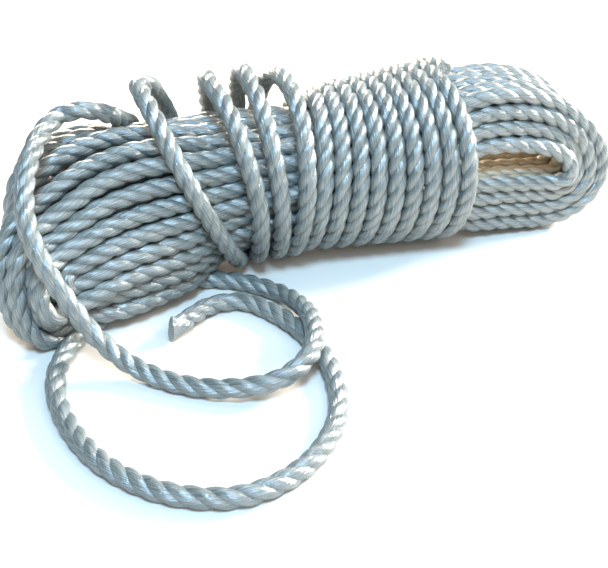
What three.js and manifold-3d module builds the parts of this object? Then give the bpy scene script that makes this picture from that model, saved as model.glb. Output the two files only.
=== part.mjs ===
// A hank of three-strand laid rope, 10 mm in diameter, in its own frame: millimetres,
// +Z up, +X along the hank, -Y towards the loose coil. One long rope makes all of it.
// Its turns lie in six upright layers side by side, and a neck of tight wraps and four
// open wraps holds them together. The tail leaves the open wraps behind the hank, comes
// over its left end and lies on the ground in two loops, ending in a melted, flared tip.
// Each stretch of the rope is one plain solid here: an envelope where it is wound and
// a tube where it runs free.

import * as THREE from 'three';
import { mergeVertices } from 'three/addons/utils/BufferGeometryUtils.js';
import Module from 'manifold-3d';

const wasm = await Module();
wasm.setup();

// Driving dimensions
const rope = 10;                       // rope diameter
const gap = 0.3;                       // clearance between neighbouring solids
const layerGap = 1.0;                  // clearance between two layers of turns
const thinnest = 0.8;                  // a rounded end is never thinner
const plateStations = 44;              // divisions along a layer
const eyeStations = 14;
const ringStations = 6;                // divisions along the tight wraps
const eyeStart = 106;                  // where the eye of the right end opens
const eyeTaper = 45;                   // how far it takes to open fully
const layerTurns = [4, 4, 4, 4, 4, 3]; // turns of rope in each layer, front to back
const layerCount = layerTurns.length;
const middleLayer = (layerCount - 1) / 2;
const bendAngle = THREE.MathUtils.degToRad(24); // the left half swings towards -Y
const bendStart = -5;
const bendLength = 85;
const leftLean = 0.25;                 // the foot of the left end reaches forward
const leanReach = { from: -40, to: -130 };
const neck = { left: 9, right: 98, middle: 53, radius: 51.5, flare: 3 };
const layerShare = 0.29;               // a layer's thickness, as a share of half the width

// By place along the hank: half its width and half its height where the rope's centre
// lines are, and where its own middle is, above the ground and across
const sections = {
  along: [-170, -150, -130, -100, -80, -55, -15, 18, 90, 130, 160, 195],
  wide: [30, 36, 44, 50, 48, 43, 41, 39, 39, 39, 39, 39],
  high: [36.5, 43.5, 47.5, 50, 49.5, 45, 41, 39, 39, 39, 39, 39],
  centre: [36.5, 42, 46.5, 49, 48.5, 47.5, 49.5, 51.5, 53.5, 53, 50.5, 47],
  across: [7, 7, 7, 6, 3, 1.5, 0, 0, 0, 0, 0, 0],
};

// The left end is closed. Each layer ends at its own place, and the front ones sag:
// by the far end their height above the ground is only this share of the full one.
const leftEnds = [-177, -176, -170, -162, -153, -144];
const leftSag = [0.88, 0.94, 0.98, 1, 1, 1];
const sagReach = { from: -110, to: -170 };

// The right end is open: the turns of each layer lie round an eye
const rightEnd = { at: 200, stagger: 7, eye: 13.5, row: 9.2, layer: 10.8, from: 70, to: 118 };

// How far a bend reaches, as a share of its height below and above its tip, and how high
// the tip is, as a share of the whole height
const bends = {
  left: { low: 0.45, high: 0.4, tip: 0.4 },
  right: { low: 1.35, high: 1.35, tip: 0.35 },
};

const clamp01 = (t) => Math.min(Math.max(t, 0), 1);

function smoothStep(a, b, x) {
  const t = clamp01((x - a) / (b - a));
  return t * t * (3 - 2 * t);
}

function sectionValue(key, u) {
  const at = sections.along;
  const value = sections[key];
  const last = at.length - 1;
  if (u <= at[0]) return value[0];
  for (let i = 1; i <= last; i += 1) {
    if (u <= at[i]) {
      return THREE.MathUtils.mapLinear(u, at[i - 1], at[i], value[i - 1], value[i]);
    }
  }
  return value[last];
}

function centreHeight(u) {
  return sectionValue('centre', u);
}

// The hank's axis in plan: straight from the neck to the right end, and turned
// towards -Y by bendAngle over bendLength on the left.
function heading(u) {
  return bendAngle * smoothStep(bendStart, bendStart - bendLength, u);
}

function axisPoint(u) {
  const step = 1;
  const count = Math.max(1, Math.round(Math.abs(u) / step));
  const du = u / count;
  let x = 0;
  let y = 0;
  for (let i = 0; i < count; i += 1) {
    const h = heading((i + 0.5) * du);
    x += Math.cos(h) * du;
    y += Math.sin(h) * du;
  }
  return [x, y];
}

// A point given along the hank (u), across it (o) and up from its centre line (z)
function place(u, o, z) {
  const [x, y] = axisPoint(u);
  const h = heading(u);
  const lean = leftLean * z * smoothStep(leanReach.from, leanReach.to, u);
  const across = o + lean;
  return new THREE.Vector3(x - Math.sin(h) * across, y + Math.cos(h) * across, centreHeight(u) + z);
}

function neckRadius(u) {
  return neck.radius + neck.flare * THREE.MathUtils.clamp((u - neck.middle) / 35, -1.3, 1.3);
}

// Solids are made by three.js classes and joined or cut as manifolds
function toManifold(geometry) {
  const bare = geometry.clone();
  bare.deleteAttribute('normal');
  bare.deleteAttribute('uv');
  const merged = mergeVertices(bare, 1e-4);
  return new wasm.Manifold(new wasm.Mesh({
    numProp: 3,
    vertProperties: Float32Array.from(merged.attributes.position.array),
    triVerts: Uint32Array.from(merged.index.array),
  }));
}

function toGeometry(manifold) {
  const mesh = manifold.getMesh();
  const geometry = new THREE.BufferGeometry();
  geometry.setAttribute('position', new THREE.BufferAttribute(Float32Array.from(mesh.vertProperties), 3));
  geometry.setIndex(Array.from(mesh.triVerts));
  geometry.computeVertexNormals();
  return geometry;
}

function ropeMesh(name, geometry, color) {
  const material = new THREE.MeshStandardMaterial({ color, roughness: 0.38, metalness: 0 });
  const mesh = new THREE.Mesh(geometry, material);
  mesh.name = name;
  return mesh;
}

// A plate that follows the hank: stations are spaced like a cosine, so that its
// rounded ends keep their shape. levels(u) is its bottom and top from the hank's middle.
function bentPlate(from, to, stations, across, levels) {
  const geometry = new THREE.BoxGeometry(1, 1, 1, stations, 1, 3);
  const position = geometry.attributes.position;
  for (let i = 0; i < position.count; i += 1) {
    const t = (1 - Math.cos(Math.PI * (position.getX(i) + 0.5))) / 2;
    const u = from + (to - from) * t;
    const [low, high] = across(u);
    const [bottom, top] = levels(u);
    const z = THREE.MathUtils.lerp(bottom, top, position.getZ(i) + 0.5);
    const point = place(u, position.getY(i) > 0 ? high : low, z);
    position.setXYZ(i, point.x, point.y, point.z);
  }
  return toManifold(geometry);
}

function rightShare(u) {
  return smoothStep(rightEnd.from, rightEnd.to, u);
}

function layerFaces(layer) {
  return (u) => {
    const wide = layerShare * sectionValue('wide', u);
    const pitch = THREE.MathUtils.lerp(wide, rightEnd.layer, rightShare(u));
    const middle = sectionValue('across', u) + (layer - middleLayer) * pitch;
    return [middle - pitch / 2 + layerGap / 2, middle + pitch / 2 - layerGap / 2];
  };
}

// Where a rounded end cuts a level off: two quarters of an ellipse that meet at the tip
function rounded(u, from, to, bottom, top) {
  const left = u - from < to - u;
  const shape = left ? bends.left : bends.right;
  const reach = left ? u - from : to - u;
  const tip = bottom + shape.tip * (top - bottom);
  const quarter = (half, share) => {
    const t = clamp01(reach / (share * half));
    return Math.max(half * Math.sqrt(t * (2 - t)), thinnest / 2);
  };
  return [tip - quarter(tip - bottom, shape.low), tip + quarter(top - tip, shape.high)];
}

// Half the height that the ring of tight wraps leaves for a layer, near the ring
function roomInRing(u, faces) {
  const margin = 16;
  if (u < neck.left - margin || u > neck.right + margin) return Infinity;
  const [low, high] = faces(THREE.MathUtils.clamp(u, neck.left, neck.right));
  const edge = Math.max(Math.abs(low), Math.abs(high));
  const inside = neckRadius(THREE.MathUtils.clamp(u, neck.left, neck.right)) - rope - 5 * gap;
  return Math.sqrt(inside * inside - edge * edge) - gap;
}

function hankLayer(layer) {
  const turns = layerTurns[layer];
  const faces = layerFaces(layer);
  const inset = (4 - turns) * rightEnd.stagger * 0.5;
  const from = leftEnds[layer];
  const to = rightEnd.at - inset;
  const out = (layer - middleLayer) / 3;
  const highest = ((turns - 0.5) / turns) * Math.sqrt(1 - (out * out) / 2);
  const outerRight = rightEnd.eye + (turns - 1) * rightEnd.row + rope / 2;
  const levels = (u) => {
    const full = sectionValue('high', u) * highest + rope / 2;
    const free = THREE.MathUtils.lerp(full, outerRight, rightShare(u));
    const half = Math.min(free, roomInRing(u, faces));
    const middle = centreHeight(u);
    const [bottom, top] = rounded(u, from, to, Math.max(-half, -middle), half);
    const sag = 1 - (1 - leftSag[layer]) * smoothStep(sagReach.from, sagReach.to, u);
    return [(middle + bottom) * sag - middle, (middle + top) * sag - middle];
  };
  const body = bentPlate(from, to, plateStations, faces, levels);
  // The right end is open at its eye, where the innermost turn bends round
  const wide = (u) => {
    const [low, high] = faces(u);
    return [low - 2 * layerGap, high + 2 * layerGap];
  };
  const wall = rope + rightEnd.stagger * (turns - 1);
  const hole = rightEnd.eye - rope / 2;
  const eye = bentPlate(eyeStart, to - wall, eyeStations, wide, (u) => {
    const half = Math.max(clamp01((u - eyeStart) / eyeTaper) * hole, thinnest / 2);
    return rounded(u, eyeStart - eyeTaper, to - wall, -half, half);
  });
  return body.subtract(eye);
}

// The tight wraps: a ring of the outer shape of the wound rope, flared to the right,
// flat underneath where it rests on the ground.
function tightWraps() {
  const profile = [];
  for (let i = 0; i <= ringStations; i += 1) {
    const u = neck.left + ((neck.right - neck.left) * i) / ringStations;
    profile.push(new THREE.Vector2(neckRadius(u), u));
  }
  for (let i = ringStations; i >= 0; i -= 1) {
    const u = neck.left + ((neck.right - neck.left) * i) / ringStations;
    profile.push(new THREE.Vector2(neckRadius(u) - rope + gap, u));
  }
  profile.push(profile[0].clone());
  const ring = new THREE.LatheGeometry(profile, 40);
  ring.rotateZ(-Math.PI / 2);
  const position = ring.attributes.position;
  for (let i = 0; i < position.count; i += 1) {
    position.setZ(i, position.getZ(i) + centreHeight(position.getX(i)));
  }
  const depth = 40;
  const ground = new THREE.BoxGeometry(400, 400, depth);
  ground.translate(0, 0, -depth / 2);
  return toGeometry(toManifold(ring).subtract(toManifold(ground)));
}

// A free run of rope: an eight-sided tube along a smooth curve
function tube(points, steps, diameter = rope) {
  const curve = new THREE.CatmullRomCurve3(points, false, 'centripetal');
  const section = new THREE.Shape();
  const sides = 8;
  for (let i = 0; i < sides; i += 1) {
    const angle = (2 * Math.PI * (i + 0.5)) / sides;
    const x = (diameter / 2) * Math.cos(angle);
    const y = (diameter / 2) * Math.sin(angle);
    if (i === 0) section.moveTo(x, y);
    else section.lineTo(x, y);
  }
  section.closePath();
  return new THREE.ExtrudeGeometry(section, { steps, bevelEnabled: false, extrudePath: curve });
}

const toPoint = ([x, y, z]) => new THREE.Vector3(x, y, z);

// The open wraps, one each: where a wrap passes over the top of the hank, down its
// front, under it and up its back, all along +X, and halfway between some of these.
// They loosen from the neck to the left.
const openWraps = [
  {
    top: -81, shoulder: -75.5, front: -57, hip: -38, bottom: -28, back: -32.5,
    across: 47, foot: 6, halfHeight: 54.4, middle: -6,
  },
  {
    top: -42, shoulder: -34.5, front: -26.5, hip: -23, bottom: -20.5, back: -15.5,
    across: 47, foot: 5.2, halfHeight: 53, middle: -2,
  },
  {
    top: -20.5, shoulder: -18, front: -13.5, hip: -10.5, bottom: -8.5, back: -6,
    across: 47, foot: 5.2, halfHeight: 53.6, middle: 0,
  },
  {
    top: 1, shoulder: 3, front: 1.5, hip: -1, bottom: 0, back: 3,
    across: 46.5, foot: 5.2, halfHeight: 51.4, middle: 0,
  },
];
const wrapStations = { top: 0, shoulder: 1 / 8, front: 1 / 4, hip: 3 / 8, bottom: 1 / 2, back: 3 / 4 };
const pointsPerWrap = 12;

function openWrapPoints() {
  const last = openWraps.length - 1;
  const stations = openWraps.flatMap((w, n) => Object.entries(wrapStations)
    .map(([key, at]) => ({ t: n + at, x: w[key] })));
  const value = (key, t) => {
    const i = Math.min(Math.floor(t), last);
    const next = Math.min(i + 1, last);
    return THREE.MathUtils.lerp(openWraps[i][key], openWraps[next][key], t - i);
  };
  const along = (t) => {
    const next = Math.max(stations.findIndex((station) => station.t >= t), 1);
    const [a, b] = [stations[next - 1], stations[next]];
    return THREE.MathUtils.mapLinear(t, a.t, b.t, a.x, b.x);
  };
  const turns = openWraps.length - 0.25;
  const count = Math.round(turns * pointsPerWrap);
  const points = [];
  for (let i = 0; i <= count; i += 1) {
    const t = (turns * i) / count;
    const y = value('middle', t) - value('across', t) * Math.sin(2 * Math.PI * t);
    const z = value('foot', t) + value('halfHeight', t) * (1 + Math.cos(2 * Math.PI * t));
    points.push(new THREE.Vector3(along(Math.min(t, stations.at(-1).t)), y, z));
  }
  return points;
}

// From the first open wrap down behind the hank, round a bight on the ground, up again
// and over the hank's left end: chosen by hand
const bightRoute = [
  [-80.2, -2.6, 114.6], [-77.9, 2.9, 113], [-72.6, 10, 108.8], [-67.3, 20, 98], [-62, 29, 86],
  [-57, 38, 70], [-53.5, 44, 50], [-53, 48, 30], [-57, 52, 13], [-67, 56, 6], [-79, 56, 7],
  [-88, 52, 16], [-91, 47, 33], [-88, 42, 54], [-84, 33, 71], [-83.5, 24, 81],
];

// From the top of the left end down in front of it to the ground, round the first loop,
// under the hank's left end, and round the second loop to the free end: by hand
const tailRoute = [
  [-84, 21.5, 82.8], [-89.5, 6, 91.5], [-99.5, -8, 102.5], [-112.5, -13, 108.4],
  [-123, -12.5, 106.6], [-134, -25, 104], [-142.5, -43.5, 98.5], [-148, -60, 88],
  [-149, -74, 75], [-144, -83.5, 58], [-135.5, -89.5, 40.5], [-125, -95.5, 22.5],
  [-110, -106.7, 9], [-88, -125.5, 5.2], [-63, -139.8, 7.5], [-40, -143.5, 11.3],
  [-23.8, -135, 15.2], [-16.3, -121.5, 16], [-12.3, -102, 14.9], [-11.8, -82, 10],
  [-17, -60.5, 5.8], [-35, -41.3, 5.2], [-57, -32, 5.2], [-80, -31.5, 5.2], [-108, -48, 5.2],
  [-134, -75, 5.2], [-146.5, -104, 5.2], [-145, -139, 5.2], [-131, -176.5, 5.2],
  [-105, -203.5, 5.2], [-75, -213, 5.2], [-45, -202.5, 5.2], [-22, -176.5, 5.2],
  [-12.5, -146, 5.2], [-12.8, -112.5, 5.2], [-23.5, -81.5, 5.2], [-40, -61, 5.2],
  [-57, -60.5, 5.5], [-69, -69, 6.8], [-76.5, -76, 7.6],
];

const openWrapCurve = openWrapPoints();
const bightCurve = bightRoute.map(toPoint);
const tailCurve = tailRoute.map(toPoint);
const steps = { openWraps: 45, bight: 16, tail: 60 };

// The free end, melted and pinched flat while it was hot: a thin fan that stands upright
function freeEndTip() {
  const tip = { length: 9, neckHalf: 4.6, lipHalf: 7.2, thickness: 5 };
  const fan = new THREE.Shape();
  fan.moveTo(0, -tip.neckHalf);
  fan.lineTo(tip.length, -tip.lipHalf);
  fan.quadraticCurveTo(tip.length + 2, 0, tip.length, tip.lipHalf);
  fan.lineTo(0, tip.neckHalf);
  fan.closePath();
  const geometry = new THREE.ExtrudeGeometry(fan, {
    depth: tip.thickness, bevelEnabled: false, curveSegments: 6,
  });
  geometry.translate(0, 0, -tip.thickness / 2);
  geometry.rotateX(Math.PI / 2);
  const end = tailCurve[tailCurve.length - 1];
  const before = tailCurve[tailCurve.length - 2];
  const outward = new THREE.Vector3().subVectors(end, before).setZ(0).normalize();
  geometry.rotateZ(Math.atan2(outward.y, outward.x));
  geometry.translate(end.x + outward.x * 2 * gap, end.y + outward.y * 2 * gap, end.z);
  return geometry;
}

// Room for the free runs where they lie on the hank or under it
function clearances() {
  const wide = rope + 3 * gap;
  return wasm.Manifold.union([
    toManifold(tube(openWrapCurve, steps.openWraps, wide)),
    toManifold(tube(bightCurve, steps.bight, wide)),
    toManifold(tube(tailCurve, steps.tail, wide)),
  ]);
}

// A cut can leave crumbs: the layer is the largest piece
function largest(manifold) {
  const pieces = manifold.decompose();
  return pieces.reduce((best, piece) => (piece.volume() > best.volume() ? piece : best));
}

const colors = { hank: 0xdfe6ea, wraps: 0xe4e8ea, tail: 0xdde5ea, tip: 0xd5dcdf };
const hank = new THREE.Group();
const taken = clearances();
for (let layer = 0; layer < layerCount; layer += 1) {
  const solid = largest(hankLayer(layer).subtract(taken));
  hank.add(ropeMesh(`hank_layer_${layer + 1}`, toGeometry(solid), colors.hank));
}
hank.add(ropeMesh('tight_wraps', tightWraps(), colors.wraps));
hank.add(ropeMesh('open_wraps', tube(openWrapCurve, steps.openWraps), colors.wraps));
hank.add(ropeMesh('rear_bight', tube(bightCurve, steps.bight), colors.tail));
hank.add(ropeMesh('tail', tube(tailCurve, steps.tail), colors.tail));
hank.add(ropeMesh('free_end_tip', freeEndTip(), colors.tip));

// The origin is the middle of the whole object's footprint, on the ground
const box = new THREE.Box3().setFromObject(hank, true);
hank.position.set(-(box.min.x + box.max.x) / 2, -(box.min.y + box.max.y) / 2, -box.min.z);

export default hank;
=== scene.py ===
"""A hank of white three-strand rope, bound with wraps of its own tail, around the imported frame.

One long rope makes everything, drawn here as two lines. The first is the hank's turns, which
lie in six layers. The second binds them: from the free end round two loops on the floor, over
the left end, round four open wraps and through a coil of tight wraps.
Routes are worked out in the frame of the part's own design (millimetres, the neck's axis
along +X through y = 0) and moved to the row frame, in metres, when the meshes are made.
"""

import math

import bpy
import numpy as np
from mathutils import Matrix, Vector


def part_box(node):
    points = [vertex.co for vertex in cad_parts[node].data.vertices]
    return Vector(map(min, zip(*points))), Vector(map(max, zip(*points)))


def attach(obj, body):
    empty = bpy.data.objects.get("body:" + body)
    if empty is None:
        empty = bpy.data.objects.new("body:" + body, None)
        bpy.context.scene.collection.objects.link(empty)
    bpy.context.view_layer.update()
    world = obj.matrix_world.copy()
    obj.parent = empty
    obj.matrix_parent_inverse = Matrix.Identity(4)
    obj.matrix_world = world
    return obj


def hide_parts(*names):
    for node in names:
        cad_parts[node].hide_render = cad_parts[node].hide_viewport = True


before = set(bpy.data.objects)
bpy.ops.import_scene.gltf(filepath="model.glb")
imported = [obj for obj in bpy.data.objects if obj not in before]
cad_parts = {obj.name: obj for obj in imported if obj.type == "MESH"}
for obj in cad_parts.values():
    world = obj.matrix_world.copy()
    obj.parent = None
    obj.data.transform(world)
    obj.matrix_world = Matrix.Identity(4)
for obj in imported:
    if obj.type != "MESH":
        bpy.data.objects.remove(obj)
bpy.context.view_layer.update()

MM = 0.001
FULL_TURN = 2 * math.pi

# --- the rope --------------------------------------------------------------------------
ROPE = 10.0                # diameter
LAY = 31.5                 # length in which a strand goes once round, right-handed
STRAND_OUT = 0.49          # a strand's centre, in rope radii from the rope's axis
STRAND_ROUND = 0.57        # a strand's own radius, in rope radii
STRAND_PRESS = 0.38        # how far the strands' sides are pressed flat into the grooves
STRANDS = 3
STRAND_SIDES = 8           # sides of the section on each strand
RING_STEP = 1.8            # between two rings of the mesh

# --- the hank, as the design has it ----------------------------------------------------
LAYER_TURNS = [4, 4, 4, 4, 4, 3]   # front to back
MIDDLE_LAYER = (len(LAYER_TURNS) - 1) / 2
BEND_ANGLE = math.radians(24)      # the hank's left half turns away from the neck's axis
BEND_START = -5.0
BEND_LENGTH = 85.0
LEFT_LEAN = 0.25           # how far back the left end leans for each millimetre of height
LEAN_REACH = (-40, -130)   # where along the hank that lean grows
NECK = {"left": 9.0, "right": 98.0, "middle": 53.0, "radius": 51.5}
NECK_FLARE = 3.0           # how much wider the neck gets over FLARE_REACH from its middle
FLARE_REACH = 35
FLARE_MOST = 1.3

# Along the hank: half its width and half its height, and where its middle is, up and across
HANK_SECTIONS = {
    "along": (-170, -150, -130, -100, -80, -55, -15, 18, 90, 130, 160, 195),
    "wide": (30, 36, 44, 50, 48, 43, 41, 39, 39, 39, 39, 39),
    "high": (36.5, 43.5, 47.5, 50, 49.5, 45, 41, 39, 39, 39, 39, 39),
    "centre": (36.5, 42, 46.5, 49, 48.5, 47.5, 49.5, 51.5, 53.5, 53, 50.5, 47),
    "across": (7, 7, 7, 6, 3, 1.5, 0, 0, 0, 0, 0, 0),
}

# The left end is closed: each layer's bends end further along, and the front ones sag
LEFT_ENDS = (-177, -176, -170, -162, -153, -144)
LEFT_STAGGER = (3.0, 4.0, 5.0, 6.0, 6.0, 6.0)
LEFT_SAG = (0.88, 0.94, 0.98, 1.0, 1.0, 1.0)
SAG_REACH = (-110.0, -170.0)
LEFT_BEND = {"low": 0.45, "high": 0.4, "tip": 0.4, "least": 6.0}

# The right end is open: each layer's turns lie round an eye
RIGHT_END = 200.0
RIGHT_STAGGER = 7.0
RIGHT_EYE = 13.5
RIGHT_ROW = 9.2
RIGHT_LAYER = 10.8
RIGHT_BEND = {"low": 1.35, "high": 1.35, "tip": 0.35, "least": 0.0}
RIGHT_BLEND = (70.0, 118.0)

# The open wraps: where each passes over the top, down the front, under and up the back
OPEN_WRAPS = [
    dict(top=-81, shoulder=-75.5, front=-57, hip=-38, bottom=-28, back=-32.5, across=47, foot=6,
         half_height=54.4, middle=-6),
    dict(top=-42, shoulder=-34.5, front=-26.5, hip=-23, bottom=-20.5, back=-15.5, across=47,
         foot=5.2, half_height=53, middle=-2),
    dict(top=-20.5, shoulder=-18, front=-13.5, hip=-10.5, bottom=-8.5, back=-6, across=47,
         foot=5.2, half_height=53.6, middle=0),
    dict(top=1, shoulder=3, front=1.5, hip=-1, bottom=0, back=3, across=46.5, foot=5.2,
         half_height=51.4, middle=0),
]
WRAP_STATIONS = {
    "top": 0, "shoulder": 1 / 8, "front": 1 / 4, "hip": 3 / 8, "bottom": 1 / 2, "back": 3 / 4,
}
OPEN_TURNS = len(OPEN_WRAPS) - 0.25
POINTS_PER_WRAP = 12

# From the first open wrap down behind the hank, round on the floor and up over its left end
BIGHT_ROUTE = [
    (-80.2, -2.6, 114.6), (-77.9, 2.9, 113), (-72.6, 10, 108.8), (-67.3, 20, 98), (-62, 29, 86),
    (-57, 38, 70), (-53.5, 44, 50), (-53, 48, 30), (-57, 52, 13), (-67, 56, 6), (-79, 56, 7),
    (-88, 52, 16), (-91, 47, 33), (-88, 42, 54), (-84, 33, 71), (-83.5, 24, 81),
]

# From the top of the left end to the floor, round both loops to the free end
TAIL_ROUTE = [
    (-84, 21.5, 82.8), (-89.5, 6, 91.5), (-99.5, -8, 102.5), (-112.5, -13, 108.4),
    (-123, -12.5, 106.6), (-134, -25, 104), (-142.5, -43.5, 98.5), (-148, -60, 88),
    (-149, -74, 75), (-144, -83.5, 58), (-135.5, -89.5, 40.5), (-125, -95.5, 22.5),
    (-110, -106.7, 9), (-88, -125.5, 5.2), (-63, -139.8, 7.5), (-40, -143.5, 11.3),
    (-23.8, -135, 15.2), (-16.3, -121.5, 16), (-12.3, -102, 14.9), (-11.8, -82, 10),
    (-17, -60.5, 5.8), (-35, -41.3, 5.2), (-57, -32, 5.2), (-80, -31.5, 5.2), (-108, -48, 5.2),
    (-134, -75, 5.2), (-146.5, -104, 5.2), (-145, -139, 5.2), (-131, -176.5, 5.2),
    (-105, -203.5, 5.2), (-75, -213, 5.2), (-45, -202.5, 5.2), (-22, -176.5, 5.2),
    (-12.5, -146, 5.2), (-12.8, -112.5, 5.2), (-23.5, -81.5, 5.2), (-40, -61, 5.2),
    (-57, -60.5, 5.5), (-69, -69, 6.8), (-76.5, -76, 7.6),
]

# --- the camera ------------------------------------------------------------------------
CAMERA_AT = (-149.6, -566.6, 339.2)     # in the design's frame
CAMERA_PITCH = math.radians(32)         # down from level
CAMERA_TURN = math.radians(-16)         # to the right of +Y
CAMERA_LENS = 65.55                     # on a sensor 36 wide


# --- frames ----------------------------------------------------------------------------
def design_shift():
    """What takes a point of the design's frame to the row frame, in millimetres."""
    low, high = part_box("tight_wraps")
    return np.array([low.x / MM - NECK["left"], (low.y + high.y) / 2 / MM, 0.0])


SHIFT = design_shift()


def to_row(points):
    """Points of the design's frame, in millimetres, in the row frame, in metres."""
    return (np.asarray(points, float) + SHIFT) * MM


def smooth_step(a, b, x):
    t = np.clip((np.asarray(x, float) - a) / (b - a), 0, 1)
    return t * t * (3 - 2 * t)


def make_camera():
    data = bpy.data.cameras.new("camera")
    data.lens = CAMERA_LENS
    data.sensor_width = 36
    data.clip_start = 0.01
    camera = bpy.data.objects.new("camera", data)
    bpy.context.scene.collection.objects.link(camera)
    camera.location = to_row(CAMERA_AT)
    camera.rotation_euler = (math.pi / 2 - CAMERA_PITCH, 0, CAMERA_TURN)
    bpy.context.scene.camera = camera


# --- lines -----------------------------------------------------------------------------
def lengths_along(line):
    steps = np.linalg.norm(np.diff(line, axis=0), axis=1)
    return np.concatenate([[0], np.cumsum(steps)])


def resampled(line, step):
    """The same line with points the same distance apart, about step."""
    along = lengths_along(line)
    at = np.linspace(0, along[-1], max(2, round(along[-1] / step) + 1))
    return np.stack([np.interp(at, along, line[:, k]) for k in range(3)], axis=1)


def spline(points, per_span=8):
    """A centripetal Catmull-Rom curve through the points."""
    p = np.asarray(points, float)
    p = np.concatenate([[2 * p[0] - p[1]], p, [2 * p[-1] - p[-2]]])
    knots = np.concatenate([[0], np.cumsum(np.linalg.norm(np.diff(p, axis=0), axis=1) ** 0.5)])
    out = []
    for i in range(1, len(p) - 2):
        k0, k1, k2, k3 = knots[i - 1 : i + 3]
        t = np.linspace(k1, k2, per_span, endpoint=False)[:, None]
        a1 = ((k1 - t) * p[i - 1] + (t - k0) * p[i]) / (k1 - k0)
        a2 = ((k2 - t) * p[i] + (t - k1) * p[i + 1]) / (k2 - k1)
        a3 = ((k3 - t) * p[i + 1] + (t - k2) * p[i + 2]) / (k3 - k2)
        b1 = ((k2 - t) * a1 + (t - k0) * a2) / (k2 - k0)
        b2 = ((k3 - t) * a2 + (t - k1) * a3) / (k3 - k1)
        out.append(((k2 - t) * b1 + (t - k1) * b2) / (k2 - k1))
    out.append(p[-2:-1])
    return np.concatenate(out)


# --- the hank's turns ------------------------------------------------------------------
WAIST_MIDDLE = 45.0        # where one turn passes to the next, under the wraps
WAIST_BLEND = 50.0
NODE_STEP = 6.0
BEND_START_BACK = 20.0     # how far before its tip a bend takes its runs' places

# Turns don't lie alike: the spread of each end's tip and of each side's place across
NOISE_SEED = 7
TIP_NOISE = {"left": 2.0, "right": 1.2}
ACROSS_NOISE = {"left": 1.5, "right": 0.8}
ACROSS_REACH = {"left": (-40, -120), "right": (100, 140)}

ALONG = np.arange(-240.0, 241.0)
HEADING = BEND_ANGLE * smooth_step(BEND_START, BEND_START - BEND_LENGTH, ALONG)
NECK_PLACE = int(np.argmin(abs(ALONG)))


def running_sum(values):
    """The integral of values over ALONG, zero at the neck's end."""
    total = np.concatenate([[0], np.cumsum((values[1:] + values[:-1]) / 2 * np.diff(ALONG))])
    return total - total[NECK_PLACE]


AXIS_X = running_sum(np.cos(HEADING))
AXIS_Y = running_sum(np.sin(HEADING))


def section_value(key, u):
    return np.interp(u, HANK_SECTIONS["along"], HANK_SECTIONS[key])


def centre_height(u):
    return section_value("centre", u)


def neck_radius(u):
    share = np.clip((u - NECK["middle"]) / FLARE_REACH, -FLARE_MOST, FLARE_MOST)
    return NECK["radius"] + NECK_FLARE * share


def place(u, o, z):
    """Points given along the hank (u), across it (o) and up from its centre line (z)."""
    heading = np.interp(u, ALONG, HEADING)
    across = o + LEFT_LEAN * z * smooth_step(*LEAN_REACH, u)
    x = np.interp(u, ALONG, AXIS_X) - np.sin(heading) * across
    y = np.interp(u, ALONG, AXIS_Y) + np.cos(heading) * across
    return np.stack([x, y, centre_height(u) + z], axis=1)


def run_place(layer, turn, side, u):
    """Across and up, for a straight run of a turn above (side 1) or below (-1) the middle.

    The hank's section is round: its square grid of layers and turns is pressed to a disc.
    """
    a = (layer - MIDDLE_LAYER) / (len(LAYER_TURNS) / 2)
    b = side * (turn + 0.5) / LAYER_TURNS[layer]
    o = section_value("across", u) + section_value("wide", u) * a * math.sqrt(1 - b * b / 2)
    z = section_value("high", u) * b * math.sqrt(1 - a * a / 2)
    right = smooth_step(*RIGHT_BLEND, u)
    right_o = (layer - MIDDLE_LAYER) * RIGHT_LAYER * math.sqrt(1 - b * b / 2)
    right_z = side * (RIGHT_EYE + RIGHT_ROW * turn)
    return o + (right_o - o) * right, z + (right_z - z) * right


def bend(layer, turn, tip, sign, shape):
    """A turn's bend at one end, from its lower run to its upper run.

    It is made of two quarters of an ellipse that meet at its tip, nearer to the lower run.
    """
    low_o, low_z = run_place(layer, turn, -1, tip - sign * BEND_START_BACK)
    high_o, high_z = run_place(layer, turn, 1, tip - sign * BEND_START_BACK)
    low_z = min(low_z, -shape["least"])
    high_z = max(high_z, shape["least"])
    tip_z = low_z + shape["tip"] * (high_z - low_z)
    count = max(6, int(math.pi * (high_z - low_z) / 2 / NODE_STEP))
    angle = np.linspace(0, math.pi, count)
    lower = angle < math.pi / 2
    half = np.where(lower, tip_z - low_z, high_z - tip_z)
    reach = np.where(lower, shape["low"], shape["high"]) * half
    u = tip - sign * reach * (1 - np.sin(angle))
    z = tip_z - half * np.cos(angle)
    o = low_o + (high_o - low_o) * (1 - np.cos(angle)) / 2
    return np.stack([u, o, z], axis=1)


def left_bend(layer, turn):
    inside = LAYER_TURNS[layer] - 1 - turn
    tip = LEFT_ENDS[layer] + ROPE / 2 + LEFT_STAGGER[layer] * inside
    return bend(layer, turn, tip, -1, LEFT_BEND)


def right_bend(layer, turn):
    most = max(LAYER_TURNS)
    inside = (most - LAYER_TURNS[layer]) / 2 + LAYER_TURNS[layer] - 1 - turn
    tip = RIGHT_END - ROPE / 2 - RIGHT_STAGGER * inside
    return bend(layer, turn, tip, 1, RIGHT_BEND)[::-1]


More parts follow.
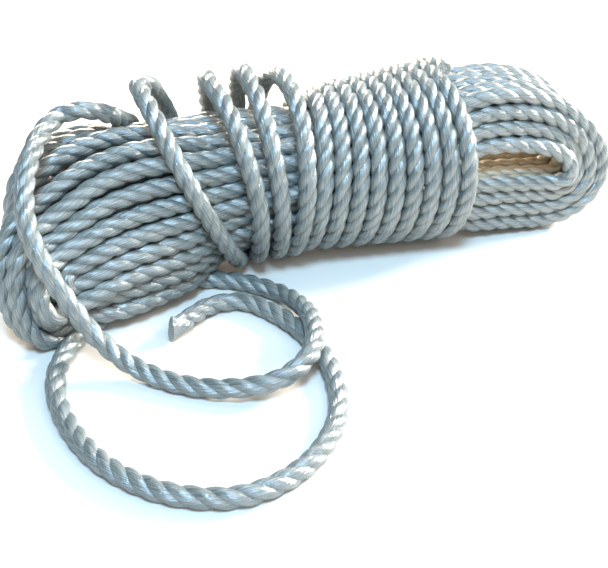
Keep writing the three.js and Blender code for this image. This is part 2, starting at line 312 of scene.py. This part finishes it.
def one_turn(layer, turn, following, noise):
    """Nodes of one turn in (u, o, z): bottom run, left bend, top run, right bend, bottom run."""
    left = left_bend(layer, turn)
    right = right_bend(layer, turn)
    left[:, 0] += noise.normal(0, TIP_NOISE["left"])
    right[:, 0] += noise.normal(0, TIP_NOISE["right"])
    shift_left = noise.normal(0, ACROSS_NOISE["left"])
    shift_right = noise.normal(0, ACROSS_NOISE["right"])

    def run(start, stop, side, blend=False):
        u = np.arange(start, stop, math.copysign(NODE_STEP, stop - start))
        o, z = run_place(layer, turn, side, u)
        if blend and following is not None:
            next_o, next_z = run_place(*following, side, u)
            share = smooth_step(WAIST_MIDDLE + WAIST_BLEND, WAIST_MIDDLE, u)
            o = o + (next_o - o) * share
            z = z + (next_z - z) * share
        return np.stack([u, o, z], axis=1)

    rows = np.concatenate([
        run(WAIST_MIDDLE, left[0, 0] + NODE_STEP / 2, -1), left,
        run(left[-1, 0] + NODE_STEP, right[0, 0] - NODE_STEP / 2, 1), right,
        run(right[-1, 0] - NODE_STEP, WAIST_MIDDLE, -1, blend=True),
    ])
    u = rows[:, 0]
    rows[:, 1] += (shift_left * smooth_step(*ACROSS_REACH["left"], u)
                   + shift_right * smooth_step(*ACROSS_REACH["right"], u))
    height = centre_height(u)
    sag = 1 - (1 - LEFT_SAG[layer]) * smooth_step(*SAG_REACH, u)
    rows[:, 2] = (height + rows[:, 2]) * sag - height
    return rows


def winding_order():
    """Every turn as (layer, turn): from the eye outwards, then back inwards, and so on."""
    order = []
    for layer, turns in enumerate(LAYER_TURNS):
        rows = range(turns) if layer % 2 == 0 else range(turns - 1, -1, -1)
        order += [(layer, turn) for turn in rows]
    return order


def hank_nodes():
    """The hank's line before it settles, and where each layer starts on it."""
    noise = np.random.default_rng(NOISE_SEED)
    order = winding_order()
    turns = []
    starts = {}
    count = 0
    for k, (layer, turn) in enumerate(order):
        following = order[k + 1] if k + 1 < len(order) else None
        nodes = one_turn(layer, turn, following, noise)
        starts.setdefault(layer, count)
        count += len(nodes)
        turns.append(nodes)
    nodes = np.concatenate(turns)
    return place(*nodes.T), [starts[k] for k in sorted(starts)]


# --- the wraps -------------------------------------------------------------------------
TIGHT_TURNS = 9
TIGHT_PITCH = 9.25
TIGHT_FIRST = 12.0         # where the coil's middle line starts
TIGHT_HALF = 36            # half the coil's length

# A wrap's shift along the hank, LEAN_AT behind its middle (skew) and LEAN_AT above it (lean):
# first at the coil's middle, then what is added from there to the coil's right end
LEAN_AT = 50
TIGHT_SKEW = (-2.7, -5.4)
TIGHT_LEAN = (5.2, -2.5)


def open_wrap_points():
    wraps = np.arange(len(OPEN_WRAPS))
    t = np.linspace(0, OPEN_TURNS, round(OPEN_TURNS * POINTS_PER_WRAP) + 1)

    def value(key):
        return np.interp(t, wraps, [w[key] for w in OPEN_WRAPS])

    stations = [n + at for n in wraps for at in WRAP_STATIONS.values()]
    x = np.interp(t, stations, [w[key] for w in OPEN_WRAPS for key in WRAP_STATIONS])
    y = value("middle") - value("across") * np.sin(FULL_TURN * t)
    z = value("foot") + value("half_height") * (1 + np.cos(FULL_TURN * t))
    return np.stack([x, y, z], axis=1)


def tight_wrap_points():
    """The coil of tight wraps, from the fourth open wrap to the rope's end on top of the last."""
    t = np.linspace(0, TIGHT_TURNS, TIGHT_TURNS * 2 * POINTS_PER_WRAP + 1)
    middle = TIGHT_FIRST + TIGHT_PITCH * t
    right = (middle - NECK["middle"]) / TIGHT_HALF
    radius = neck_radius(middle) - ROPE / 2
    y = -radius * np.sin(FULL_TURN * t)
    up = radius * np.cos(FULL_TURN * t)
    skew = (TIGHT_SKEW[0] + TIGHT_SKEW[1] * right) * y / LEAN_AT
    lean = (TIGHT_LEAN[0] + TIGHT_LEAN[1] * right) * up / LEAN_AT
    z = np.maximum(centre_height(middle) + up, ROPE / 2)
    return np.stack([middle + skew + lean, y, z], axis=1)


# --- settling the hank -----------------------------------------------------------------
HELD_INSIDE = 1.48         # rope diameters from the neck's surface to the outermost turns
SETTLING_ROUNDS = 160
PAIRS_ROUNDS = 8           # rounds between two searches for close pairs
APART = 9.8                # how far apart two runs' lines are pushed
PUSH = 0.9                 # share of what is missing that a round makes up
STIFFNESS = 0.25           # how strongly a node goes back to its place between its neighbours
PULL = 0.02                # how strongly it goes back to its target
WEIGHT = 0.03              # how far it sinks in a round


def near_pairs(nodes, fixed, reach, skip=3):
    """Pairs of nodes, or of a node and a fixed one, that are within reach of each other."""
    count = len(nodes)
    every = np.concatenate([nodes, fixed])
    cell = np.floor(every / reach).astype(int)
    cell -= cell.min(0) - 1
    size = cell.max(0) + 2
    key = (cell[:, 0] * size[1] + cell[:, 1]) * size[2] + cell[:, 2]
    order = np.argsort(key, kind="stable")
    ordered = key[order]
    first, second = [], []
    for step in np.ndindex(3, 3, 3):
        a, b, c = np.array(step) - 1
        wanted = key[:count] + (a * size[1] + b) * size[2] + c
        low = np.searchsorted(ordered, wanted, "left")
        found = np.searchsorted(ordered, wanted, "right") - low
        i = np.repeat(np.arange(count), found)
        within = np.arange(found.sum()) - np.repeat(np.cumsum(found) - found, found)
        j = order[np.repeat(low, found) + within]
        keep = (j > i) & ((j - i > skip) | (j >= count))
        i, j = i[keep], j[keep]
        close = ((every[i] - every[j]) ** 2).sum(1) < reach**2
        first.append(i[close])
        second.append(j[close])
    return np.concatenate(first), np.concatenate(second)


def held_by_wraps(nodes):
    """Nodes under the tight wraps, pushed back inside them."""
    u = nodes[:, 0]
    inside = neck_radius(u) - HELD_INSIDE * ROPE
    up = nodes[:, 2] - centre_height(u)
    away = np.hypot(nodes[:, 1], up)
    under = (u > NECK["left"]) & (u < NECK["right"]) & (away > inside)
    share = np.where(under, inside / np.maximum(away, 1e-6), 1)
    nodes[:, 1] *= share
    nodes[:, 2] = centre_height(u) + up * share
    return nodes


def settled(target, fixed):
    """The hank's nodes pushed apart so that runs lie beside each other, near their target."""
    nodes = target.copy()
    count = len(nodes)
    curve = target[1:-1] - (target[:-2] + target[2:]) / 2
    for n in range(SETTLING_ROUNDS):
        if n % PAIRS_ROUNDS == 0:
            i, j = near_pairs(nodes, fixed, APART * 1.5)
            step_i = np.where(j >= count, 2.0, 1.0)[:, None]
        every = np.concatenate([nodes, fixed])
        away = every[i] - every[j]
        far = np.linalg.norm(away, axis=1) + 1e-6
        push = away / far[:, None] * (np.maximum(APART - far, 0) / 2)[:, None]
        hit = far < APART
        total = np.zeros_like(every)
        for k in range(3):
            total[:, k] += np.bincount(i[hit], (push * step_i)[hit, k], len(every))
            total[:, k] -= np.bincount(j[hit], push[hit, k], len(every))
        hits = np.bincount(i[hit], minlength=len(every)) + np.bincount(j[hit], minlength=len(every))
        nodes += PUSH * (total / np.sqrt(np.maximum(hits, 1))[:, None])[:count]
        nodes[1:-1] += STIFFNESS * ((nodes[:-2] + nodes[2:]) / 2 + curve - nodes[1:-1])
        nodes += PULL * (target - nodes)
        nodes[:, 2] -= WEIGHT
        nodes = held_by_wraps(nodes)
        nodes[:, 2] = np.maximum(nodes[:, 2], ROPE / 2)
    return nodes


LEAST_BEND = 5.0           # a tighter bend than this radius is opened out
OPENING_ROUNDS = 200


def opened_out(line):
    """The same line with its sharpest bends opened out."""
    line = line.copy()
    for _ in range(OPENING_ROUNDS):
        before = line[1:-1] - line[:-2]
        after = line[2:] - line[1:-1]
        length_in = np.linalg.norm(before, axis=1)
        length_out = np.linalg.norm(after, axis=1)
        turn = np.linalg.norm(after / length_out[:, None] - before / length_in[:, None], axis=1)
        sharp = turn > (length_in + length_out) / 2 / LEAST_BEND
        middle = (line[:-2] + line[2:]) / 2
        line[1:-1][sharp] += 0.5 * (middle - line[1:-1])[sharp]
    return line


# --- meshes ----------------------------------------------------------------------------
def turning_frames(line):
    """A normal and a second normal at each point, carried along without twisting."""
    tangent = np.gradient(line, axis=0)
    tangent /= np.linalg.norm(tangent, axis=1)[:, None]
    side = np.cross(tangent[0], (0.3, 0.2, 1.0))
    normals = [side / np.linalg.norm(side)]
    for t in tangent[1:]:
        n = normals[-1] - t * (normals[-1] @ t)
        normals.append(n / math.sqrt(n @ n))
    normals = np.array(normals)
    return normals, np.cross(tangent, normals)


def rope_section():
    """The rope's section as angle and radius, and how deep in a groove each point is."""
    per_strand = FULL_TURN / STRANDS
    local = (np.arange(STRAND_SIDES) / STRAND_SIDES - 0.5) * per_strand
    angle = np.concatenate([local + k * per_strand for k in range(STRANDS)])
    off = np.tile(local, STRANDS)
    out = STRAND_OUT * np.cos(off) + np.sqrt(STRAND_ROUND**2 - (STRAND_OUT * np.sin(off)) ** 2)
    out += (STRAND_OUT + STRAND_ROUND - out) * STRAND_PRESS
    groove = abs(off) / (per_strand / 2)
    return angle, out * ROPE / 2, groove


SECTION = rope_section()


class Line:
    """A settled stretch of rope with what its mesh needs at every ring."""

    def __init__(self, points):
        self.points = resampled(points, RING_STEP)
        self.along = lengths_along(self.points)
        self.first, self.second = turning_frames(self.points)
        uneven = 0.25 * np.sin(self.along / 41) + 0.2 * np.sin(self.along / 17 + 1)
        self.phase = FULL_TURN * self.along / LAY + uneven

    def nearest(self, point):
        return int(np.argmin(((self.points - np.asarray(point, float)) ** 2).sum(1)))


def rings_of(line, start, stop):
    """The mesh points of a stretch, ring by ring, with their fibre coordinates."""
    angle, radius, groove = SECTION
    turn = angle[None, :] + line.phase[start:stop, None]
    across = np.cos(turn)[:, :, None] * line.first[start:stop, None, :]
    across += np.sin(turn)[:, :, None] * line.second[start:stop, None, :]
    points = line.points[start:stop, None, :] + radius[None, :, None] * across
    along = np.repeat(line.along[start:stop, None], len(angle), axis=1)
    fibre = np.stack([np.cos(turn) * ROPE / 2, np.sin(turn) * ROPE / 2, along], axis=2)
    return points, fibre, np.repeat(groove[None, :], stop - start, axis=0)


def skin(name, points, fibre, groove):
    """A closed tube through rings of points, all with the same number of sides."""
    rings, sides, _ = points.shape
    ring = np.arange(rings - 1)[:, None] * sides
    side = np.arange(sides)[None, :]
    after = (side + 1) % sides
    quads = np.stack([ring + side, ring + after, ring + sides + after, ring + sides + side], axis=2)
    quads = quads.reshape(-1, 4)
    last = (rings - 1) * sides
    faces = [tuple(range(sides - 1, -1, -1)), tuple(range(last, last + sides))]
    corners = np.concatenate([quads.ravel(), faces[0], faces[1]]).astype(np.int32)
    sizes = np.concatenate([np.full(len(quads), 4), [sides, sides]])
    starts = np.concatenate([[0], np.cumsum(sizes)[:-1]]).astype(np.int32)
    mesh = bpy.data.meshes.new(name)
    mesh.vertices.add(rings * sides)
    mesh.vertices.foreach_set("co", to_row(points.reshape(-1, 3)).astype(np.float32).ravel())
    mesh.loops.add(len(corners))
    mesh.loops.foreach_set("vertex_index", corners)
    mesh.polygons.add(len(starts))
    mesh.polygons.foreach_set("loop_start", starts)
    mesh.update(calc_edges=True)
    mesh.validate()
    mesh.polygons.foreach_set("use_smooth", np.ones(len(mesh.polygons), bool))
    store(mesh, "fibre", "FLOAT_VECTOR", "vector", fibre.reshape(-1, 3))
    store(mesh, "groove", "FLOAT", "value", groove)
    store(mesh, "in_eye", "FLOAT", "value", eye_share(points.reshape(-1, 3)))
    crease_grooves(mesh, rings, sides)
    piece = bpy.data.objects.new(name, mesh)
    bpy.context.scene.collection.objects.link(piece)
    return piece


# The inside of the eye, where the rope gets a painted warm glow: between two ends along, near the
# middle's height and behind the front
EYE_LEFT = (100, 115)
EYE_RIGHT = (183, 172)
EYE_UP = (15, 9)
EYE_FRONT = (-31, -24)


def eye_share(points):
    """How far points lie inside the eye of the right end, from 0 to 1."""
    x, y, z = points.T
    up = abs(z - centre_height(x))
    along = smooth_step(*EYE_LEFT, x) * smooth_step(*EYE_RIGHT, x)
    return along * smooth_step(*EYE_UP, up) * smooth_step(*EYE_FRONT, y)


def store(mesh, name, kind, key, values):
    attribute = mesh.attributes.new(name, kind, "POINT")
    attribute.data.foreach_set(key, np.asarray(values, np.float32).ravel())


def crease_grooves(mesh, rings, sides):
    """Sharp edges along the grooves between strands and round both ends."""
    ends = np.zeros(len(mesh.edges) * 2, np.int32)
    mesh.edges.foreach_get("vertices", ends)
    a, b = ends.reshape(-1, 2).T
    per_strand = sides // STRANDS
    groove = (a % sides == b % sides) & (a % sides % per_strand == 0)
    rim = (a // sides == b // sides) & ((a // sides == 0) | (a // sides == rings - 1))
    sharp = mesh.attributes.new("sharp_edge", "BOOLEAN", "EDGE")
    sharp.data.foreach_set("value", groove | rim)


# --- materials -------------------------------------------------------------------------
def node(tree, kind, at, **values):
    made = tree.nodes.new(kind)
    made.location = at
    for key, value in values.items():
        setattr(made, key, value)
    return made


def attribute_output(tree, at, name, output):
    """A value that skin() has stored on the mesh."""
    return node(tree, "ShaderNodeAttribute", at, attribute_name=name).outputs[output]


def noise_node(tree, at, source, scale, detail=2.0, roughness=0.5):
    """Noise over the fibre coordinates, stretched by scale (across, across, along)."""
    mapping = node(tree, "ShaderNodeMapping", (at[0] - 200, at[1]))
    mapping.inputs["Scale"].default_value = scale
    tree.links.new(source, mapping.inputs["Vector"])
    made = node(tree, "ShaderNodeTexNoise", at)
    made.inputs["Scale"].default_value = 1.0
    made.inputs["Detail"].default_value = detail
    made.inputs["Roughness"].default_value = roughness
    tree.links.new(mapping.outputs["Vector"], made.inputs["Vector"])
    return made.outputs["Fac"]


def ramp_node(tree, at, source, stops):
    made = node(tree, "ShaderNodeValToRGB", at)
    ramp = made.color_ramp
    while len(ramp.elements) < len(stops):
        ramp.elements.new(0.5)
    for element, (place_at, color) in zip(ramp.elements, stops):
        element.position = place_at
        element.color = (*color, 1)
    tree.links.new(source, made.inputs["Fac"])
    return made.outputs["Color"]


EYE_PAINTED_GLOW = (0.66, 0.54, 0.37)       # painted warm glow: a lighter, warmer colour stands in for light through the strands inside the eye
THREAD_TONES = [(0.35, (0.10, 0.119, 0.115)), (0.65, (0.22, 0.245, 0.24))]
PATCH_TONES = [(0.35, (0.90, 0.92, 0.90)), (0.65, (1, 1, 1))]
# painted shade: the colour darkens towards the bottom of each groove between strands
GROOVE_SHADE_TONES = [(0.7, (1, 1, 1)), (1.0, (0.94, 0.94, 0.93))]
YARN_HEIGHT = 0.6 * MM


def rope_material():
    """White silky filament yarn: fine yarn lines run along the rope, with painted shade in the
    grooves and a painted warm glow inside the eye.
    """
    material = bpy.data.materials.new("silky_rope")
    material.use_nodes = True
    tree = material.node_tree
    shader = tree.nodes["Principled BSDF"]
    fibre = attribute_output(tree, (-1400, 200), "fibre", "Vector")
    groove = attribute_output(tree, (-1400, -300), "groove", "Fac")
    in_eye = attribute_output(tree, (-1400, -500), "in_eye", "Fac")
    yarns = noise_node(tree, (-900, 300), fibre, (0.55, 0.55, 0.05), detail=1.0)
    threads = noise_node(tree, (-900, 0), fibre, (1.7, 1.7, 0.10), detail=2.0)
    patches = noise_node(tree, (-900, -300), fibre, (0.16, 0.16, 0.035), detail=2.0)
    height = node(tree, "ShaderNodeMath", (-600, 200), operation="MULTIPLY_ADD")
    height.inputs[1].default_value = 0.9
    tree.links.new(threads, height.inputs[0])
    tree.links.new(yarns, height.inputs[2])
    bump = node(tree, "ShaderNodeBump", (-300, 100))
    bump.inputs["Strength"].default_value = 1.0
    bump.inputs["Distance"].default_value = YARN_HEIGHT
    tree.links.new(height.outputs["Value"], bump.inputs["Height"])
    tree.links.new(bump.outputs["Normal"], shader.inputs["Normal"])
    tone = ramp_node(tree, (-600, -100), threads, THREAD_TONES)
    dirt = ramp_node(tree, (-600, -300), patches, PATCH_TONES)
    # painted shade in the grooves between strands
    groove_shade = ramp_node(tree, (-600, -500), groove, GROOVE_SHADE_TONES)
    color = multiplied(tree, (-300, -200), multiplied(tree, (-450, -200), tone, dirt), groove_shade)
    # painted warm glow: inside the eye the colour is mixed towards a lighter, warmer one
    glow = node(tree, "ShaderNodeMix", (-150, -200), data_type="RGBA")
    glow.inputs["B"].default_value = (*EYE_PAINTED_GLOW, 1)
    tree.links.new(in_eye, glow.inputs["Factor"])
    tree.links.new(color, glow.inputs["A"])
    tree.links.new(glow.outputs["Result"], shader.inputs["Base Color"])
    shader.inputs["Roughness"].default_value = 0.27
    shader.inputs["IOR"].default_value = 1.7
    shader.inputs["Specular IOR Level"].default_value = 1.0
    shader.inputs["Sheen Weight"].default_value = 0.1
    shader.inputs["Sheen Roughness"].default_value = 0.4
    shader.inputs["Subsurface Weight"].default_value = 0.5
    shader.inputs["Subsurface Radius"].default_value = (1.0, 0.8, 0.6)
    shader.inputs["Subsurface Scale"].default_value = 3.0 * MM
    return material


def multiplied(tree, at, first, second):
    mix = node(tree, "ShaderNodeMix", at, data_type="RGBA", blend_type="MULTIPLY")
    mix.inputs["Factor"].default_value = 1.0
    tree.links.new(first, mix.inputs["A"])
    tree.links.new(second, mix.inputs["B"])
    return mix.outputs["Result"]


def floor_material():
    material = bpy.data.materials.new("pale_floor")
    material.use_nodes = True
    shader = material.node_tree.nodes["Principled BSDF"]
    shader.inputs["Base Color"].default_value = (0.74, 0.70, 0.65, 1)
    shader.inputs["Roughness"].default_value = 0.9
    shader.inputs["Specular IOR Level"].default_value = 0.1
    return material


# --- pieces ----------------------------------------------------------------------------
def finish_piece(piece, material, slot, *nodes):
    piece.data.materials.append(material)
    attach(piece, "root")
    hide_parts(*nodes)


def rope_piece(name, line, start, stop, material):
    """One stretch of rope as a mesh piece."""
    piece = skin(name, *rings_of(line, start, stop))
    finish_piece(piece, material, "rope", name_of_node(name))
    return piece


def name_of_node(name):
    return name.removesuffix("_rope")


def binding_line():
    """From the free end round the loops, over the hank, through the bight and all the wraps."""
    open_points = open_wrap_points()
    tight = tight_wrap_points()
    points = np.concatenate([
        np.array(TAIL_ROUTE[::-1], float), np.array(BIGHT_ROUTE[::-1], float), open_points, tight,
    ])
    return Line(spline(points))


# The free end was melted and pinched: at each reach, how much taller and how much thinner it is
TIP_STATIONS = [(0, 1, 1), (1.5, 1.0, 0.95), (3, 1.04, 0.85), (4.5, 1.12, 0.72), (6, 1.25, 0.6),
                (7.5, 1.42, 0.5), (8.6, 1.55, 0.46), (9.2, 1.58, 0.42)]
TIP_BOW = 1.5              # how far the middle of the fan's edge stands out
TIP_BOW_HALF = 8.0         # half the height over which it does


def tip_rings(line):
    """The mesh points of the free end: its strands run out into an upright fan."""
    angle, radius, groove = SECTION
    end = line.points[0]
    outward = line.points[0] - line.points[2]
    outward /= np.linalg.norm(outward)
    up = np.array([0.0, 0.0, 1.0])
    up -= outward * (up @ outward)
    up /= np.linalg.norm(up)
    side = np.cross(up, outward)
    start = np.cos(angle + line.phase[0])[:, None] * line.first[0]
    start += np.sin(angle + line.phase[0])[:, None] * line.second[0]
    start *= radius[:, None]
    high = start @ up
    wide = start @ side
    rings = []
    for reach, tall, thick in TIP_STATIONS:
        level = high * tall
        bow = TIP_BOW * reach / TIP_STATIONS[-1][0] * (1 - (level / TIP_BOW_HALF) ** 2)
        forward = outward * (reach + bow)[:, None]
        rings.append(end + forward + up * level[:, None] + side * (wide * thick)[:, None])
    points = np.array(rings)
    fibre = np.stack([points @ up, points @ side, points @ outward], axis=2)
    # half the groove value: the painted groove shade is lighter on the melted tip
    return points, fibre, np.repeat(groove[None, :] * 0.5, len(points), axis=0)


def free_end_tip(line, material):
    points, fibre, groove = tip_rings(line)
    piece = skin("free_end_tip_melt", points[::-1], fibre[::-1], groove)
    finish_piece(piece, material, "melted_end", "free_end_tip")
    return piece


def make_rope():
    material = rope_material()
    binding = binding_line()
    in_ring = binding.nearest(tight_wrap_points()[0])
    obstacles = resampled(binding.points[:in_ring], NODE_STEP)
    target, layer_starts = hank_nodes()
    nodes = settled(target, obstacles)
    hank = Line(opened_out(resampled(spline(nodes, per_span=4), RING_STEP)))
    edges = [hank.nearest(nodes[k]) for k in layer_starts] + [len(hank.points) - 1]
    for layer, (start, stop) in enumerate(zip(edges[:-1], edges[1:])):
        rope_piece(f"hank_layer_{layer + 1}_rope", hank, start, stop + 1, material)
    tip = free_end_tip(binding, material)
    bight_at = binding.nearest((np.array(TAIL_ROUTE[0]) + BIGHT_ROUTE[-1]) / 2)
    open_at = binding.nearest((np.array(BIGHT_ROUTE[0]) + open_wrap_points()[0]) / 2)
    last = len(binding.points)
    rope_piece("tail_rope", binding, 0, bight_at + 1, material)
    for name, start, stop, lay in (
        ("rear_bight_rope", bight_at, open_at + 1, "loose"),
        ("open_wraps_rope", open_at, in_ring + 1, "coiled"),
        ("tight_wraps_rope", in_ring, last, "coiled"),
    ):
        rope_piece(name, binding, start, stop, material)


# --- the stage -------------------------------------------------------------------------
def make_floor():
    mesh = bpy.data.meshes.new("floor")
    half = 6.0
    mesh.from_pydata([(-half, -half, 0), (half, -half, 0), (half, half, 0), (-half, half, 0)],
                     [], [(0, 1, 2, 3)])
    floor = bpy.data.objects.new("floor", mesh)
    bpy.context.scene.collection.objects.link(floor)
    mesh.materials.append(floor_material())


def area_light(name, at, aim, size, power, color):
    data = bpy.data.lights.new(name, "AREA")
    data.shape = "DISK"
    data.size = size
    data.energy = power
    data.color = color
    light = bpy.data.objects.new(name, data)
    bpy.context.scene.collection.objects.link(light)
    light.location = at
    light.rotation_euler = (Vector(aim) - Vector(at)).to_track_quat("-Z", "Y").to_euler()


def make_lights():
    aim = (0, 0, 0.05)
    area_light("sky_front", (-0.2, -0.7, 1.2), aim, 0.35, 25, (0.42, 0.72, 1.0))
    area_light("fill_front", (0.1, -0.9, 0.75), aim, 1.2, 6, (1.0, 0.98, 0.94))
    area_light("key_right", (1.2, 0.2, 0.65), aim, 0.5, 54, (1.0, 0.96, 0.9))
    area_light("top_soft", (0.5, 0.3, 1.5), aim, 1.4, 8, (1.0, 0.98, 0.95))
    area_light("back_warm", (-0.1, 1.3, 0.5), aim, 0.6, 30, (1.0, 0.88, 0.72))
    world = bpy.data.worlds.new("studio")
    world.use_nodes = True
    background = world.node_tree.nodes["Background"]
    background.inputs["Color"].default_value = (1.0, 0.98, 0.93, 1)
    background.inputs["Strength"].default_value = 0.24
    bpy.context.scene.world = world
    bpy.context.scene.view_settings.view_transform = "Standard"


make_camera()
make_rope()
make_floor()
make_lights()
